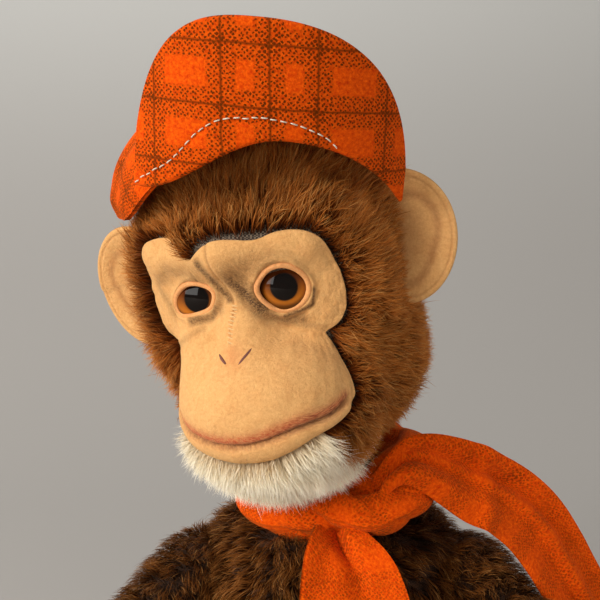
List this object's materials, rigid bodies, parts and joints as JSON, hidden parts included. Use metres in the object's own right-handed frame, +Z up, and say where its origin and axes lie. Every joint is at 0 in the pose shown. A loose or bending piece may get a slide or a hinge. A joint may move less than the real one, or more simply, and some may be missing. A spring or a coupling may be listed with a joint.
{
  "type": "clockwork monkey",
  "caption": "Seated clockwork plush monkey in a tartan cap and scarf, with swinging arms that clap brass cymbals, a turning head and jointed legs.",
  "frame": {"origin": "centre of the wooden base disc's underside, on the surface the monkey sits on", "axes": "+Z up, front toward -Y, the monkey's left side toward +X"},
  "size_m": [0.1641, 0.1777, 0.2442],
  "materials": {
    "wood": "turned, unvarnished",
    "steel": "plain drawn and stamped steel",
    "key_steel": "nickel-plated",
    "spring_steel": "blued",
    "tinplate": "lacquered tinplate",
    "brass": "stamped",
    "cymbal_brass": "spun and polished",
    "brown_mohair": "long brown mohair pile",
    "white_mohair": "white mohair pile",
    "apricot_felt": "wool felt, airbrushed",
    "stuffing": "packed wood wool",
    "fibre_board": "pressed fibre board",
    "tartan_flannel": "brushed wool flannel, tartan",
    "amber_glass": "polished amber glass, black pupil"
  },
  "bodies": {
    "torso": {"base_plate": "wood", "base_screws": "steel", "body_case": "tinplate", "motor_front_plate": "steel", "motor_back_plate": "steel", "plate_pillars": "steel", "plate_nuts": "brass", "mainspring": "spring_steel", "arm_pivot_studs": "steel", "arm_springs": "steel", "torso_pelt": "brown_mohair", "neck_column": "stuffing", "neck_disc_lower": "fibre_board", "scarf_ring": "tartan_flannel", "scarf_knot": "tartan_flannel", "scarf_front_tail": "tartan_flannel", "scarf_shoulder_tail": "tartan_flannel", "hip_discs": "fibre_board"},
    "great_wheel": {"great_wheel": "brass", "click": "steel", "click_spring": "steel"},
    "winding_arbor": {"winding_arbor": "steel", "ratchet_wheel": "brass", "winding_key": "key_steel"},
    "cam_arbor": {"cam_arbor": "steel", "second_wheel": "brass", "arm_cam": "brass"},
    "governor": {"governor_arbor": "steel", "governor_fly": "brass"},
    "arm_left": {"arm_lever_left": "steel", "arm_sleeve_left": "brown_mohair", "hand_left": "apricot_felt", "cymbal_left": "cymbal_brass", "cymbal_rivet_left": "cymbal_brass"},
    "arm_right": {"arm_lever_right": "steel", "arm_sleeve_right": "brown_mohair", "hand_right": "apricot_felt", "cymbal_right": "cymbal_brass", "cymbal_rivet_right": "cymbal_brass"},
    "head": {"neck_disc_upper": "fibre_board", "neck_pin": "steel", "head_stuffing": "stuffing", "head_pelt": "brown_mohair", "face_felt": "apricot_felt", "muzzle_felt": "apricot_felt", "chin_pelt": "white_mohair", "ear_left": "apricot_felt", "ear_right": "apricot_felt", "eye_left": "amber_glass", "eye_right": "amber_glass", "eyelids": "apricot_felt", "cap_crown": "tartan_flannel", "cap_brim": "tartan_flannel"},
    "leg_left": {"leg_left": "brown_mohair", "foot_left": "apricot_felt", "hip_pin_left": "steel"},
    "leg_right": {"leg_right": "brown_mohair", "foot_right": "apricot_felt", "hip_pin_right": "steel"}
  },
  "joints": [
    {"name": "motor_run", "type": "hinge", "parent": "torso", "child": "great_wheel", "pos_m": [0, 0, 0.046], "axis": [0, 1, 0], "continuous": true},
    {"name": "arbor_run", "type": "hinge", "parent": "torso", "child": "winding_arbor", "pos_m": [0, 0, 0.046], "axis": [0, 1, 0], "continuous": true},
    {"name": "cam_run", "type": "hinge", "parent": "torso", "child": "cam_arbor", "pos_m": [0, 0, 0.07], "axis": [0, 1, 0], "continuous": true},
    {"name": "governor_run", "type": "hinge", "parent": "torso", "child": "governor", "pos_m": [0, 0, 0.085], "axis": [0, 1, 0], "continuous": true},
    {"name": "arm_left_swing", "type": "hinge", "parent": "torso", "child": "arm_left", "pos_m": [0.026, 0, 0.078], "axis": [0, 1, 0], "range_deg": [0, 16], "stiffness_Nm_per_rad": 0.05, "springref_deg": -20.05},
    {"name": "arm_right_swing", "type": "hinge", "parent": "torso", "child": "arm_right", "pos_m": [-0.026, 0, 0.078], "axis": [0, 1, 0], "range_deg": [-16, 0], "stiffness_Nm_per_rad": 0.05, "springref_deg": 20.05},
    {"name": "head_turn", "type": "hinge", "parent": "torso", "child": "head", "pos_m": [-0.005, -0.004, 0.124], "axis": [-0.1983, -0.1664, 0.9659], "continuous": true},
    {"name": "leg_left_swing", "type": "hinge", "parent": "torso", "child": "leg_left", "pos_m": [0.052, -0.004, 0.018], "axis": [1, 0, 0], "range_deg": [-15, 90]},
    {"name": "leg_right_swing", "type": "hinge", "parent": "torso", "child": "leg_right", "pos_m": [-0.052, -0.004, 0.018], "axis": [1, 0, 0], "range_deg": [-15, 90]}
  ],
  "couplings": [
    {"joint": "arbor_run", "follows": "motor_run", "ratio": 1},
    {"joint": "cam_run", "follows": "motor_run", "ratio": -4},
    {"joint": "governor_run", "follows": "motor_run", "ratio": 16},
    {"joint": "arm_right_swing", "follows": "arm_left_swing", "ratio": -1}
  ]
}
